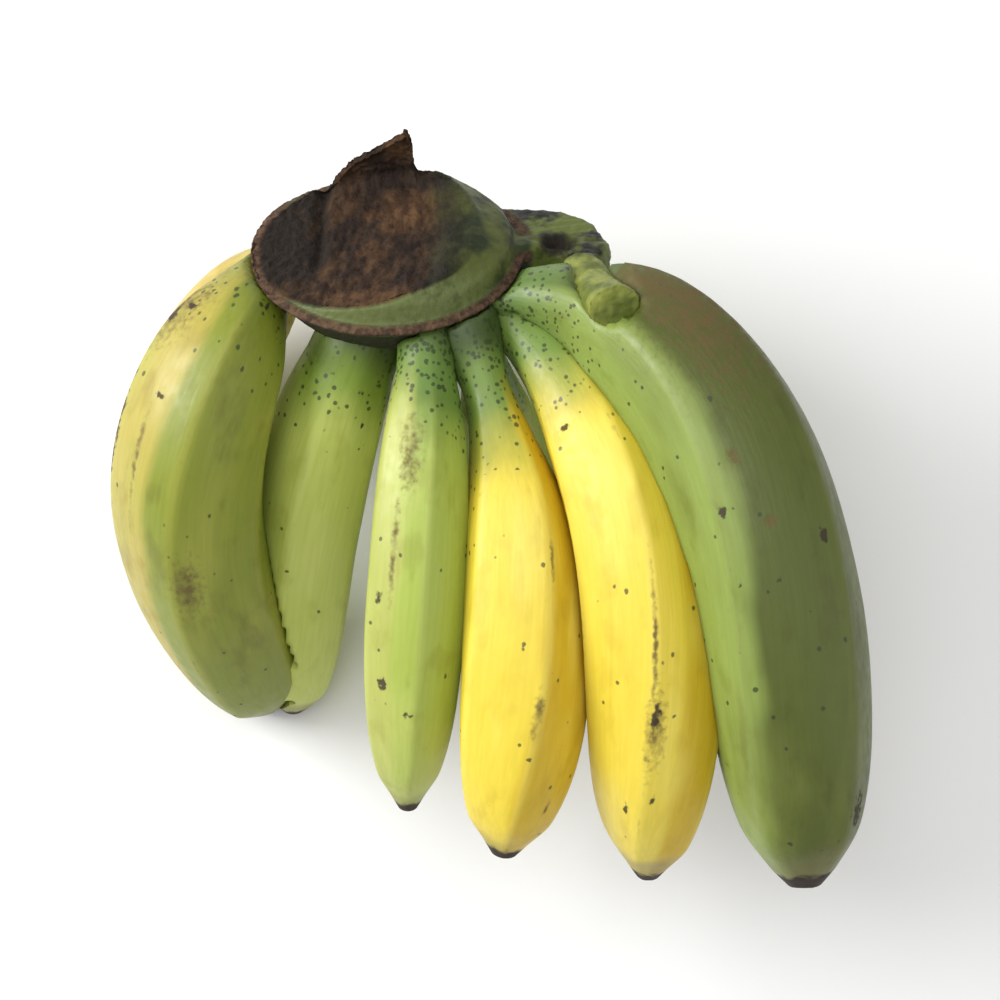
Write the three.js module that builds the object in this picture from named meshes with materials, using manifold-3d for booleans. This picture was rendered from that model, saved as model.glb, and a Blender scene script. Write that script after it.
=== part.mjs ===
// A hand of bananas, cut from its stalk and laid down on its hollow side.
// Millimetres, +Z up. The fingers are shaped standing, round a crown near the point (0, 0, 0),
// with the fingertips towards -Z and the front row towards -Y. The whole hand is then tilted
// back, so that it lies on the low spots of five fingers, and moved so that it is centred on
// the origin.

import * as THREE from "three";
import { mergeVertices } from "three/addons/utils/BufferGeometryUtils.js";
import Module from "manifold-3d";

const wasm = await Module();
wasm.setup();

// How the hand lies, in degrees, and how deep its contact spots are pressed flat.
const TILT_BACK = 50;
const TILT_SIDE = 0;
const CONTACT_DEPTH = 1.2;

// Fingers: the number of flat sides and of rings along each, and the gap kept to a neighbour.
const SIDES = 20;
const RINGS = 18;
const LINE_STEPS = 90;
const GAP = 0.3;

// A finger's half thickness along its length, as a share of half its greatest girth: for the
// slim fingers, and for the full ones, which swell sooner and end blunter.
const SLIM_PROFILE = [
  [0.0, 0.4],
  [0.14, 0.37],
  [0.23, 0.5],
  [0.38, 0.84],
  [0.53, 0.97],
  [0.68, 1.0],
  [0.82, 0.9],
  [0.92, 0.66],
  [0.972, 0.36],
  [1.0, 0.2],
];
const FULL_PROFILE = [
  [0.0, 0.3],
  [0.1, 0.29],
  [0.17, 0.44],
  [0.28, 0.81],
  [0.42, 0.97],
  [0.6, 1.0],
  [0.8, 0.94],
  [0.92, 0.74],
  [0.972, 0.44],
  [1.0, 0.22],
];

// The flat faces along a finger: how many, how strong, and where they begin and fade.
const FACES = 5;
const FACE_STRENGTH = 0.5;
const FACE_SWELL = 1.1;
const FACE_START = 0.12;
const FACE_GROWTH = 0.15;
const FACE_END = 0.93;
const DEEPNESS = 0.95;

// A finger leaves the crown at root, heading azimuth degrees round from the front (clockwise
// seen from above is negative) and rising rise degrees. Over its length it bends down by bend
// and sideways by sway. curl shifts the bending towards the neck. girth is the greatest width,
// profile its swelling, and neck the share of the profile that the crown hides. roll turns the
// flat faces, and green, lime and yellow are skin colours.
const GREEN = 0x7f9f3a;
const LIME = 0xa9bd5c;
const YELLOW = 0xe3c64c;
const BROWN = 0x7a5a3c;

const FINGERS = [
  {
    name: "finger_back_left",
    azimuth: -145, rise: -24, bend: 50, sway: 96, curl: 0.4,
    length: 117, girth: 36, profile: SLIM_PROFILE, neck: 0, roll: 0,
    root: [-12, 4, -5], colour: YELLOW,
  },
  {
    name: "finger_front_1",
    azimuth: -15, rise: 24.2, bend: 130.5, sway: -37, curl: 1.3,
    length: 181, girth: 43.7, profile: FULL_PROFILE, neck: 0.01, roll: 53,
    root: [-25.9, 18.6, -12.5], colour: GREEN,
  },
  {
    name: "finger_front_2",
    azimuth: -66.5, rise: -60.2, bend: 25.6, sway: -3.5, curl: 0.85,
    length: 139, girth: 34.3, profile: FULL_PROFILE, neck: 0.15, roll: 36,
    root: [-3.4, -13.2, -13.2], colour: GREEN,
  },
  {
    name: "finger_front_3",
    azimuth: 2, rise: -30, bend: 55, sway: -16, curl: 0.4,
    length: 144, girth: 27, profile: SLIM_PROFILE, neck: 0.15, roll: 0,
    root: [10, -19, -10], colour: LIME,
  },
  {
    name: "finger_front_4",
    azimuth: 32, rise: -40, bend: 34, sway: -60, curl: -0.2,
    length: 149, girth: 35, profile: SLIM_PROFILE, neck: 0, roll: 68,
    root: [19, -22, -13], colour: YELLOW,
  },
  {
    name: "finger_front_5",
    azimuth: 52, rise: -12, bend: 82, sway: -70, curl: -0.1,
    length: 188, girth: 37, profile: SLIM_PROFILE, neck: 0.08, roll: 28,
    root: [20, -5, -12], colour: YELLOW,
  },
  {
    name: "finger_front_6",
    azimuth: 92.6, rise: 35.2, bend: 103.3, sway: -78, curl: 1.14,
    length: 222.7, girth: 46.2, profile: FULL_PROFILE, neck: 0, roll: 68,
    root: [10.5, -13.3, -19.8], colour: GREEN,
  },
  {
    name: "finger_inner_1",
    azimuth: 20, rise: -60, bend: 35, sway: 0, curl: 0.3,
    length: 122, girth: 28, profile: SLIM_PROFILE, neck: 0, roll: 20,
    root: [6, -12, -10], colour: LIME,
  },
  {
    name: "finger_inner_2",
    azimuth: 50, rise: -66, bend: 22, sway: 0, curl: 0.3,
    length: 138, girth: 32, profile: SLIM_PROFILE, neck: 0, roll: 20,
    root: [18, -3, -10], colour: LIME,
  },
  {
    name: "finger_back_right",
    azimuth: 140, rise: -46, bend: 0, sway: -100, curl: 0.4,
    length: 126, girth: 34, profile: SLIM_PROFILE, neck: 0, roll: 20,
    root: [20, 12, -7], colour: GREEN,
  },
];

// Crown: half its width at the rim, the rim's reach to the front and to the back, its middle,
// and how far it leans to the front.
const CROWN_HALF_WIDTH = 36.5;
const CROWN_FRONT_DEPTH = 35;
const CROWN_BACK_DEPTH = 30;
const CROWN_MIDDLE = [-1, -2, -2];
const CROWN_LEAN = 11;
const CROWN_SIDES = 40;

// Crown levels: height over the rim and half width as a share. The welt of the rim is at 0.
const CROWN_LEVELS = [
  [-22, 0.3],
  [-20, 0.55],
  [-13, 0.78],
  [-6, 0.92],
  [-2.5, 0.97],
  [-1.2, 1.04],
  [0.6, 1.05],
  [1.8, 0.97],
  [6, 0.92],
  [11, 0.8],
  [16, 0.58],
  [19, 0.34],
  [20, 0.14],
];

// The knife cut: a plane that meets the rim at the left and climbs to the right and to the back.
const CUT_SLOPE_RIGHT = 12;
const CUT_SLOPE_BACK = 1;
const CUT_START = -37;
const CUT_HEIGHT = 0.5;
const CUTTER_SIZE = 140;
const CUTTER_HEIGHT = 60;

// The pointed shard at the back of the cut, the torn corner and the torn stub at the right.
const SHARD_OUTLINE = [
  [-21, -1],
  [10, 3],
  [8.5, 9],
  [8.5, 17],
  [6, 23],
  [-2, 17.5],
  [-11, 12],
];
const SHARD_THICKNESS = 5;
const SHARD_PLACE = [0, 24, 2];
const CORNER_OUTLINE = [
  [22, 20],
  [47, 18],
  [56, 11],
  [61, -4],
  [56, -11],
  [44, -4],
  [24, -10],
];
const CORNER_THICKNESS = 9;
const CORNER_HEIGHT = -9;
const STUB_LENGTH = 34;
const STUB_RADIUS = 5;
const STUB_TIP_RADIUS = 6.5;
const STUB_PLACE = [55.5, -26, 0.5];
const STUB_AZIMUTH = 14;
const STUB_RISE = 14;
const STUB_FLATNESS = 0.8;

const radians = THREE.MathUtils.degToRad;

// The value of a table at s, on a smooth curve through its entries.
function smoothValue(table, s) {
  let i = 0;
  while (i < table.length - 2 && s > table[i + 1][0]) i += 1;
  const [x1, y1] = table[i];
  const [x2, y2] = table[i + 1];
  const [x0, y0] = table[Math.max(i - 1, 0)];
  const [x3, y3] = table[Math.min(i + 2, table.length - 1)];
  const step = x2 - x1;
  const t = (s - x1) / step;
  const m1 = ((y2 - y0) / (x2 - x0)) * step;
  const m2 = ((y3 - y1) / (x3 - x1)) * step;
  return (
    (2 * t ** 3 - 3 * t ** 2 + 1) * y1 +
    (t ** 3 - 2 * t ** 2 + t) * m1 +
    (-2 * t ** 3 + 3 * t ** 2) * y2 +
    (t ** 3 - t ** 2) * m2
  );
}

// The middle line of a finger: points with the directions to its side and to its bulging face.
function middleLine(finger) {
  const stations = [];
  const point = new THREE.Vector3(...finger.root);
  for (let i = 0; i <= LINE_STEPS; i += 1) {
    const s = i / LINE_STEPS;
    const bending = s * (1 + finger.curl * (1 - s));
    const pitch = radians(finger.rise - finger.bend * bending);
    const heading = radians(finger.azimuth + finger.sway * bending);
    const out = new THREE.Vector3(Math.sin(heading), -Math.cos(heading), 0);
    const side = new THREE.Vector3(Math.cos(heading), Math.sin(heading), 0);
    const along = out.clone().multiplyScalar(Math.cos(pitch));
    along.z += Math.sin(pitch);
    const face = out.multiplyScalar(-Math.sin(pitch));
    face.z += Math.cos(pitch);
    stations.push({ point: point.clone(), side, face });
    point.addScaledVector(along, finger.length / LINE_STEPS);
  }
  return stations;
}

// How far the skin stands out at an angle round a finger: a circle blended with flat faces.
function faceFactor(angle, s, roll) {
  const growth = THREE.MathUtils.clamp((s - FACE_START) / FACE_GROWTH, 0, 1);
  const fade = s < FACE_END ? 1 : 0.2 + (0.8 * (1 - s)) / (1 - FACE_END);
  const strength = FACE_STRENGTH * growth * fade;
  const face = (2 * Math.PI) / FACES;
  const turned = THREE.MathUtils.euclideanModulo(angle - radians(roll), face) - face / 2;
  const flat = (Math.cos(face / 2) / Math.cos(turned)) * FACE_SWELL;
  return 1 - strength + strength * flat;
}

// Rings crowd together towards the blossom end, where a finger tapers fast.
function ringPosition(t) {
  if (t < 0.8) return t;
  return 0.8 + 0.2 * (1 - (1 - (t - 0.8) / 0.2) ** 1.6);
}

// A finger is a cylinder whose rings are moved onto the middle line.
function fingerGeometry(finger, grow) {
  const stations = middleLine(finger);
  const geometry = new THREE.CylinderGeometry(1, 1, 1, SIDES, RINGS);
  const position = geometry.attributes.position;
  const place = new THREE.Vector3();
  for (let i = 0; i < position.count; i += 1) {
    const x = position.getX(i);
    const z = position.getZ(i);
    const s = ringPosition(0.5 - position.getY(i));
    const exact = s * LINE_STEPS;
    const before = Math.min(Math.floor(exact), LINE_STEPS - 1);
    const { side, face } = stations[Math.round(exact)];
    place.lerpVectors(stations[before].point, stations[before + 1].point, exact - before);
    const spread = Math.hypot(x, z);
    const angle = Math.atan2(z, x);
    const share = smoothValue(finger.profile, finger.neck + (1 - finger.neck) * s);
    const half = (finger.girth / 2) * share + grow;
    const radius = spread * half * faceFactor(angle, s, finger.roll);
    place.addScaledVector(side, radius * Math.cos(angle));
    place.addScaledVector(face, radius * Math.sin(angle) * DEEPNESS);
    position.setXYZ(i, place.x, place.y, place.z);
  }
  return geometry;
}

// The crown's body is a cylinder whose rings follow the crown's levels.
function crownBodyGeometry(grow) {
  const levels = CROWN_LEVELS.length - 1;
  const geometry = new THREE.CylinderGeometry(1, 1, 1, CROWN_SIDES, levels);
  const position = geometry.attributes.position;
  for (let i = 0; i < position.count; i += 1) {
    const [height, share] = CROWN_LEVELS[Math.round((position.getY(i) + 0.5) * levels)];
    const x = position.getX(i) * (share * CROWN_HALF_WIDTH + grow);
    const towardsBack = -position.getZ(i);
    const depth = towardsBack > 0 ? CROWN_BACK_DEPTH : CROWN_FRONT_DEPTH;
    const y = towardsBack * (share * depth + grow);
    const lift = Math.sign(height) * grow;
    position.setXYZ(i, x, y, height + lift);
  }
  return geometry;
}

// The space that the slanted cut takes away above the crown, in the crown's own frame.
function cutterGeometry(grow) {
  const geometry = new THREE.BoxGeometry(CUTTER_SIZE, CUTTER_SIZE, CUTTER_HEIGHT);
  geometry.translate(0, 0, CUTTER_HEIGHT / 2);
  geometry.rotateY(-radians(CUT_SLOPE_RIGHT));
  geometry.rotateX(radians(CUT_SLOPE_BACK));
  geometry.translate(CUT_START, 0, CUT_HEIGHT + grow);
  return geometry;
}

// A flat outline made thick, with small bevels.
function plateGeometry(outline, thickness, bevel, grow) {
  const shape = new THREE.Shape(outline.map(([x, y]) => new THREE.Vector2(x, y)));
  return new THREE.ExtrudeGeometry(shape, {
    depth: thickness,
    steps: 1,
    bevelEnabled: true,
    bevelThickness: bevel + grow,
    bevelSize: bevel + grow,
    bevelSegments: 2,
    curveSegments: 1,
  });
}

// The thin pointed shard that the knife left standing at the back.
function shardGeometry(grow) {
  const geometry = plateGeometry(SHARD_OUTLINE, SHARD_THICKNESS, 0.8, grow);
  geometry.rotateX(Math.PI / 2);
  geometry.translate(...SHARD_PLACE);
  return geometry;
}

// The torn corner at the right: a flat lobe with rounded edges.
function cornerGeometry(grow) {
  const geometry = plateGeometry(CORNER_OUTLINE, CORNER_THICKNESS, 2, grow);
  geometry.translate(0, 0, CORNER_HEIGHT);
  return geometry;
}

// The torn stub of a missing finger, lying over the neck of its neighbour.
function stubGeometry(grow) {
  const geometry = new THREE.CylinderGeometry(
    STUB_TIP_RADIUS + grow,
    STUB_RADIUS + grow,
    STUB_LENGTH + 2 * grow,
    12,
    2,
  );
  geometry.rotateX(Math.PI);
  geometry.scale(1, 1, STUB_FLATNESS);
  geometry.rotateX(-radians(STUB_RISE));
  geometry.rotateZ(radians(STUB_AZIMUTH));
  geometry.translate(...STUB_PLACE);
  return geometry;
}

// A closed geometry as a solid.
function toSolid(geometry) {
  geometry.deleteAttribute("normal");
  geometry.deleteAttribute("uv");
  const merged = mergeVertices(geometry, 1e-4);
  const triangles = merged.index.array;
  return new wasm.Manifold(
    new wasm.Mesh({
      numProp: 3,
      vertProperties: Float32Array.from(merged.attributes.position.array),
      triVerts: Uint32Array.from(triangles),
    }),
  );
}

// A solid as a geometry.
function toGeometry(solid) {
  const mesh = solid.getMesh();
  const geometry = new THREE.BufferGeometry();
  geometry.setAttribute("position", new THREE.BufferAttribute(mesh.vertProperties, 3));
  geometry.setIndex(new THREE.BufferAttribute(mesh.triVerts, 1));
  geometry.computeVertexNormals();
  return geometry;
}

// The largest piece of a solid.
function largest(solid) {
  const pieces = solid.decompose();
  return pieces.reduce((best, piece) => (piece.volume() > best.volume() ? piece : best));
}

// The crown's matrix in the standing hand.
function crownMatrix() {
  const matrix = new THREE.Matrix4().makeRotationX(radians(CROWN_LEAN));
  matrix.setPosition(...CROWN_MIDDLE);
  return matrix;
}

// The whole crown, grown by the gap where it is used to cut the fingers.
function crownSolid(grow, layDown) {
  const inPlace = (geometry, matrix) =>
    toSolid(geometry.applyMatrix4(matrix).applyMatrix4(layDown));
  const own = crownMatrix();
  const standing = new THREE.Matrix4();
  let solid = inPlace(crownBodyGeometry(grow), own);
  solid = solid.subtract(inPlace(cutterGeometry(grow), own));
  solid = solid.add(inPlace(shardGeometry(grow), own));
  solid = solid.add(inPlace(cornerGeometry(grow), standing));
  solid = solid.add(inPlace(stubGeometry(grow), standing));
  return solid;
}

// The turn that lays the standing hand down.
function layDownMatrix() {
  const back = new THREE.Matrix4().makeRotationX(-radians(TILT_BACK));
  const side = new THREE.Matrix4().makeRotationY(radians(TILT_SIDE));
  return side.multiply(back);
}

// Every piece of the hand, lying, each clear of the ones made before it.
function makePieces() {
  const layDown = layDownMatrix();
  const pieces = [{ name: "crown", solid: crownSolid(0, layDown), colour: BROWN }];
  let taken = crownSolid(GAP, layDown);
  for (const finger of FINGERS) {
    const whole = toSolid(fingerGeometry(finger, 0).applyMatrix4(layDown));
    const solid = largest(whole.subtract(taken));
    pieces.push({ name: finger.name, solid, colour: finger.colour });
    taken = taken.add(toSolid(fingerGeometry(finger, GAP).applyMatrix4(layDown)));
  }
  return pieces;
}

// The space under the surface that the hand lies on, at a height.
function tableSolid(height) {
  const geometry = new THREE.BoxGeometry(1000, 1000, 100);
  geometry.translate(0, 0, height - 50);
  return toSolid(geometry);
}

// The mesh of one piece, moved so that the hand is centred over the origin.
function pieceMesh({ name, solid, colour }, shift) {
  const geometry = toGeometry(solid).translate(shift.x, shift.y, shift.z);
  const material = new THREE.MeshStandardMaterial({ color: colour, roughness: 0.5, metalness: 0 });
  const mesh = new THREE.Mesh(geometry, material);
  mesh.name = name;
  return mesh;
}

const pieces = makePieces();
const lowest = Math.min(...pieces.map(({ solid }) => solid.boundingBox().min[2]));
const table = tableSolid(lowest + CONTACT_DEPTH);
for (const piece of pieces) {
  piece.solid = largest(piece.solid.subtract(table));
}

const box = new THREE.Box3();
for (const { solid } of pieces) {
  const { min, max } = solid.boundingBox();
  box.expandByPoint(new THREE.Vector3(...min));
  box.expandByPoint(new THREE.Vector3(...max));
}
const middle = box.getCenter(new THREE.Vector3());
const shift = new THREE.Vector3(-middle.x, -middle.y, -box.min.z);

const hand = new THREE.Group();
hand.name = "hand_of_bananas";
for (const piece of pieces) {
  hand.add(pieceMesh(piece, shift));
}

export default hand;
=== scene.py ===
"""A hand of bananas, cut from its stalk and laid down on its hollow side.

The fingers and the crown are shaped standing, in millimetres, and then laid down into the
frame of the solid model, in metres.
"""

import math
from collections import namedtuple

import bmesh
import bpy
from mathutils import Matrix, Vector, noise
from mathutils.bvhtree import BVHTree


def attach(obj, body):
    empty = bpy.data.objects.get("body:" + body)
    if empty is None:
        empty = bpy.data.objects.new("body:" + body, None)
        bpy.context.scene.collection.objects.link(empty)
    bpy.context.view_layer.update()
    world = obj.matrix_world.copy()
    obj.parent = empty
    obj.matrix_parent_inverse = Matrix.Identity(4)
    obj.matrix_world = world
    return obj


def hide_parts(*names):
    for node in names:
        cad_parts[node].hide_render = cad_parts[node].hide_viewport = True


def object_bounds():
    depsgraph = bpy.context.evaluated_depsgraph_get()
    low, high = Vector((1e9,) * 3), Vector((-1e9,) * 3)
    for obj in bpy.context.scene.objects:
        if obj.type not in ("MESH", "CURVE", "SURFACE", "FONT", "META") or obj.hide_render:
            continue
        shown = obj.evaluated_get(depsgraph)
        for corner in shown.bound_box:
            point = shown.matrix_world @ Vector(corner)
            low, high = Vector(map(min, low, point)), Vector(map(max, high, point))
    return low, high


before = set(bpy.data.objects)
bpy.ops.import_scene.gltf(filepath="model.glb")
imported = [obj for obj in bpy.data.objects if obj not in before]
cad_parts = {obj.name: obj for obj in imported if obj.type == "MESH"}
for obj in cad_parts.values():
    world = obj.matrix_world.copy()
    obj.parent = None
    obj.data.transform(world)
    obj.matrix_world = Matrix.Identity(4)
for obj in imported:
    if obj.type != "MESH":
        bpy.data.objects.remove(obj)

bl_info = {
    "name": "Hand of bananas",
    "version": (1, 0, 0),
    "blender": (4, 5, 0),
    "location": "3D View > Sidebar > Bananas",
    "description": "Makes a hand of green and yellow bananas with its cut crown",
    "category": "Add Mesh",
}

MM = 0.001
SOLID_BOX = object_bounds()

# How the standing hand is laid down: tilted back, then moved, in degrees and millimetres.
TILT_BACK = 50
LAID_SHIFT = (-23.3821, 71.7199, 77.5139)

# A finger's half thickness along its length, as a share of half its greatest girth: for the
# slim fingers, and for the full ones, which swell sooner and end blunter.
SLIM_PROFILE = (
    (0.0, 0.4),
    (0.14, 0.37),
    (0.23, 0.5),
    (0.38, 0.84),
    (0.53, 0.97),
    (0.68, 1.0),
    (0.82, 0.9),
    (0.92, 0.66),
    (0.972, 0.36),
    (1.0, 0.2),
)
FULL_PROFILE = (
    (0.0, 0.3),
    (0.1, 0.29),
    (0.17, 0.44),
    (0.28, 0.81),
    (0.42, 0.97),
    (0.6, 1.0),
    (0.8, 0.94),
    (0.92, 0.74),
    (0.972, 0.44),
    (1.0, 0.22),
)

# The closed blossom end: places along the finger and shares of the end ring.
BLOSSOM_ROWS = ((0.999, 0.82), (0.997, 0.55), (0.9945, 0.2))

# The flat faces along a finger: how many, how strong, and where they begin and fade.
FACES = 5
FACE_STRENGTH = 0.5
FACE_SWELL = 1.1
FACE_START = 0.12
FACE_GROWTH = 0.15
FACE_END = 0.93

# How deep a finger is for its width, how uneven its skin is, and the steps along its middle.
DEEPNESS = 0.95
UNEVENNESS = 0.012
LINE_STEPS = 180

# How far a finger's skin is tucked into a neighbour that it is pressed against.
SKIN_TUCK = 0.4 * MM

# How much the neck widens where it grows out of the crown, and where that ends.
NECK_FLARE = 0.5
FLARE_END = 0.15

# The part of a finger that is kept under the crown's rim. The height of the rim's underside,
# in millimetres, the share of the rim's spread up to which it counts, and how steeply a skin
# may rise beyond that.
TUCKED_END = 0.3
RIM_UNDERSIDE = -2.2
RIM_REACH = 1.02
RIM_STEEPNESS = 60

# A finger leaves the crown at root, heading azimuth degrees round from the front and rising
# rise degrees. Over its length it bends down by bend and sideways by sway, more towards the
# neck where curl is larger. girth is the greatest width, neck the share of the profile that
# the crown hides, and roll turns the flat faces.
Finger = namedtuple(
    "Finger", "name azimuth rise bend sway curl length girth profile neck roll root skin slot"
)

FRONT_FINGERS = (
    Finger("finger_back_left", -145, -24, 50, 96, 0.4, 117, 36, SLIM_PROFILE, 0, 0,
           (-12, 4, -5), "tan_yellow_skin", "yellow_skin"),
    Finger("finger_front_1", -15, 24.2, 130.5, -37, 1.3, 181, 43.7, FULL_PROFILE, 0.01, 53,
           (-25.9, 18.6, -12.5), "olive_skin", "green_skin"),
    Finger("finger_front_2", -66.5, -60.2, 25.6, -3.5, 0.85, 139, 34.3, FULL_PROFILE, 0.15, 36,
           (-3.4, -13.2, -13.2), "green_skin", "green_skin"),
    Finger("finger_front_3", 2, -30, 55, -16, 0.4, 144, 27, SLIM_PROFILE, 0.15, 0,
           (10, -19, -10), "light_green_skin", "light_green_skin"),
    Finger("finger_front_4", 32, -40, 34, -60, -0.2, 149, 35, SLIM_PROFILE, 0, 68,
           (19, -22, -13), "yellow_skin", "yellow_skin"),
    Finger("finger_front_5", 52, -12, 82, -70, -0.1, 188, 37, SLIM_PROFILE, 0.08, 28,
           (20, -5, -12), "yellow_skin", "yellow_skin"),
    Finger("finger_front_6", 92.6, 35.2, 103.3, -78, 1.14, 222.7, 46.2, FULL_PROFILE, 0, 68,
           (10.5, -13.3, -19.8), "deep_green_skin", "green_skin"),
)
HIDDEN_FINGERS = (
    Finger("finger_inner_1", 20, -60, 35, 0, 0.3, 122, 28, SLIM_PROFILE, 0, 20,
           (6, -12, -10), "light_green_skin", "light_green_skin"),
    Finger("finger_inner_2", 50, -66, 22, 0, 0.3, 138, 32, SLIM_PROFILE, 0, 20,
           (18, -3, -10), "light_green_skin", "light_green_skin"),
    Finger("finger_back_right", 140, -46, 0, -100, 0.4, 126, 34, SLIM_PROFILE, 0, 20,
           (20, 12, -7), "green_skin", "green_skin"),
)

# Skins: colours at the neck, on the body, on its pale parts and on one side, how far the neck
# reaches, that side's middle angle and width in degrees, and the shares of freckles, rubbed
# ridges and mottling. The side colour is partly the skin's own tone and partly painted light
# and shade: lighter where a side is lit, darker where it is shaded.
Skin = namedtuple(
    "Skin", "neck body pale flank neck_end flank_angle flank_width freckles rubs mottle"
)
SKINS = {
    # Olive: its yellow side is partly the skin's own colour and partly painted light.
    "olive_skin": Skin(
        (0.12, 0.16, 0.014), (0.215, 0.25, 0.022), (0.37, 0.37, 0.06), (0.42, 0.35, 0.06),
        0.12, 132, 62, 0.45, 0.7, 0.7),
    # Green: its dark side is painted shade, where the finger lies in the hollow beside its
    # neighbour.
    "green_skin": Skin(
        (0.20, 0.29, 0.035), (0.50, 0.57, 0.12), (0.62, 0.66, 0.2), (0.10, 0.15, 0.01),
        0.12, 180, 30, 0.3, 0.3, 0.35),
    # Light green: its paler side is partly the skin's own colour and partly painted light.
    "light_green_skin": Skin(
        (0.12, 0.21, 0.035), (0.35, 0.44, 0.07), (0.48, 0.53, 0.13), (0.42, 0.45, 0.1),
        0.18, 150, 55, 0.9, 0.5, 0.5),
    # Deep green: its dark body is partly the skin's own deep green and partly painted shade, and
    # its paler side is partly painted light.
    "deep_green_skin": Skin(
        (0.12, 0.2, 0.045), (0.078, 0.1, 0.011), (0.15, 0.18, 0.03), (0.25, 0.33, 0.068),
        0.14, 176, 52, 0.9, 0.4, 0.5),
    # Yellow: its deeper orange side is partly the skin's own colour and partly painted shade.
    "yellow_skin": Skin(
        (0.16, 0.25, 0.045), (0.76, 0.59, 0.05), (0.84, 0.7, 0.13), (0.62, 0.42, 0.016),
        0.17, 20, 60, 0.7, 0.5, 0.35),
    "tan_yellow_skin": Skin(
        (0.55, 0.42, 0.11), (0.62, 0.45, 0.10), (0.70, 0.55, 0.2), (0.5, 0.38, 0.08),
        0.1, 90, 60, 0.4, 0.5, 0.6),
}

# How far a mark spreads from its middle, as a share of its length and width.
MARK_SPREAD = 0.55

# Marks on the skins: the kind, the place along the finger, the angle round it in degrees, and
# the length and width in millimetres.
# Spots and stains are the skin's own marks; the shade marks are painted shade, where shadow falls
# on the skin.
Mark = namedtuple("Mark", "kind along angle length width")
MARKS = {
    "finger_front_1": (
        Mark("spot", 0.262, 124, 4.5, 3.4),
        Mark("spot", 0.245, 110, 2.2, 4.6),
        Mark("spot", 0.354, 89, 1.5, 3.6),
        Mark("spot", 0.42, 128, 34, 4.2),
        Mark("stain", 0.25, 126, 17, 13),
        Mark("stain", 0.42, 94, 26, 1.6),
        Mark("spot", 0.207, 32, 2.4, 1.8),
        Mark("stain", 0.60, 42, 14, 7),
    ),
    "finger_front_2": (
        Mark("spot", 0.22, 350, 1.6, 1.2),
        # Painted shade on the shoulder, in the crown's shadow.
        Mark("shade", 0.115, 78, 9, 6),
    ),
    "finger_front_3": (
        Mark("stain", 0.46, 112, 20, 1.8),
        Mark("spot", 0.55, 128, 3.2, 2.2),
        Mark("spot", 0.704, 116, 3.2, 3.0),
        Mark("spot", 0.754, 84, 1.8, 1.4),
        Mark("stain", 0.30, 100, 15, 5),
    ),
    "finger_front_4": (
        Mark("stain", 0.704, 70, 9, 2.2),
        Mark("stain", 0.875, 28, 12, 1.2),
        Mark("stain", 0.45, 66, 26, 1.0),
    ),
    "finger_front_5": (
        Mark("spot", 0.30, 150, 1.8, 2.8),
        Mark("spot", 0.70, 98, 6.5, 2.4),
        Mark("stain", 0.72, 97, 17, 4.2),
        Mark("spot", 0.836, 116, 3.6, 1.8),
        Mark("spot", 0.815, 92, 2.6, 1.5),
        Mark("stain", 0.60, 100, 30, 1.2),
    ),
    "finger_front_6": (
        Mark("stain", 0.27, 88, 28, 17),
        Mark("stain", 0.34, 96, 32, 17),
        Mark("stain", 0.31, 80, 40, 18),
        # Painted shade on the shoulder.
        Mark("shade", 0.32, 92, 34, 20),
        Mark("spot", 0.896, 56, 11, 5.5),
        Mark("spot", 0.532, 138, 3.6, 2.0),
        Mark("stain", 0.554, 110, 2.4, 3.6),
        Mark("spot", 0.582, 76, 3.2, 2.8),
        Mark("stain", 0.48, 122, 4, 3),
    ),
}

# Crown: half its width at the rim, the rim's reach to the front and to the back, its middle,
# and how far it leans to the front.
CROWN_HALF_WIDTH = 36.5
CROWN_FRONT_DEPTH = 35
CROWN_BACK_DEPTH = 30
CROWN_MIDDLE = (-1, -2, -2)
CROWN_LEAN = 11
CROWN_SIDES = 96

# Crown levels: height over the rim and half width as a share. The welt of the rim is at 0.
CROWN_LEVELS = (
    (-22, 0.3),
    (-20, 0.55),
    (-13, 0.78),
    (-6, 0.92),
    (-2.2, 0.975),
    (-1.1, 1.035),
    (0.2, 1.045),
    (1.1, 0.97),
    (6, 0.92),
    (11, 0.8),
    (16, 0.58),
    (19, 0.34),
    (20, 0.14),
)

# The knife cut: a plane that meets the rim at the left and climbs to the right and to the back.
CUT_SLOPE_RIGHT = 12
CUT_SLOPE_BACK = 1
CUT_START = -37
CUT_HEIGHT = 0.5

# The pointed shard at the back of the cut, the torn corner and the torn stub at the right.
SHARD_OUTLINE = ((-21, -1), (10, 3), (8.5, 9), (8.5, 17), (6, 23), (-2, 17.5), (-11, 12))
SHARD_THICKNESS = 5
SHARD_BEVEL = 0.8
SHARD_PLACE = (0, 24, 2)
CORNER_OUTLINE = ((22, 20), (47, 18), (56, 11), (61, -4), (56, -11), (44, -4), (24, -10))
CORNER_THICKNESS = 9
CORNER_HEIGHT = -9
CORNER_BEVEL = 2
STUB_LENGTH = 34
STUB_RADIUS = 5
STUB_TIP_RADIUS = 7.5
STUB_PLACE = (55.5, -27, 1.8)
STUB_AZIMUTH = 14
STUB_RISE = 14
STUB_FLATNESS = 0.8
STUB_SIDES = 32

# The grain in which the crown's parts grow together, and how often they are smoothed then.
CROWN_VOXEL = 0.7
CROWN_SMOOTHINGS = 2

# Weathering of the crown, in millimetres in its own frame: where the cut face stops being brown,
# where it folds over to the left, how deep the fold, the dried dish and its fibres are, how far
# the right side is rounded off, and the hollow in the torn corner, placed in the standing hand.
BROWN_END = 14
FOLD_X = -19
FOLD_DEPTH = 2.0
DISH_DEPTH = 2.4
FIBRE_DEPTH = 0.9
ROUND_DEPTH = 4.0
HOLLOW_PLACE = (46, -2, 0)
HOLLOW_RADIUS = 6
HOLLOW_DEPTH = 4.5

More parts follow.
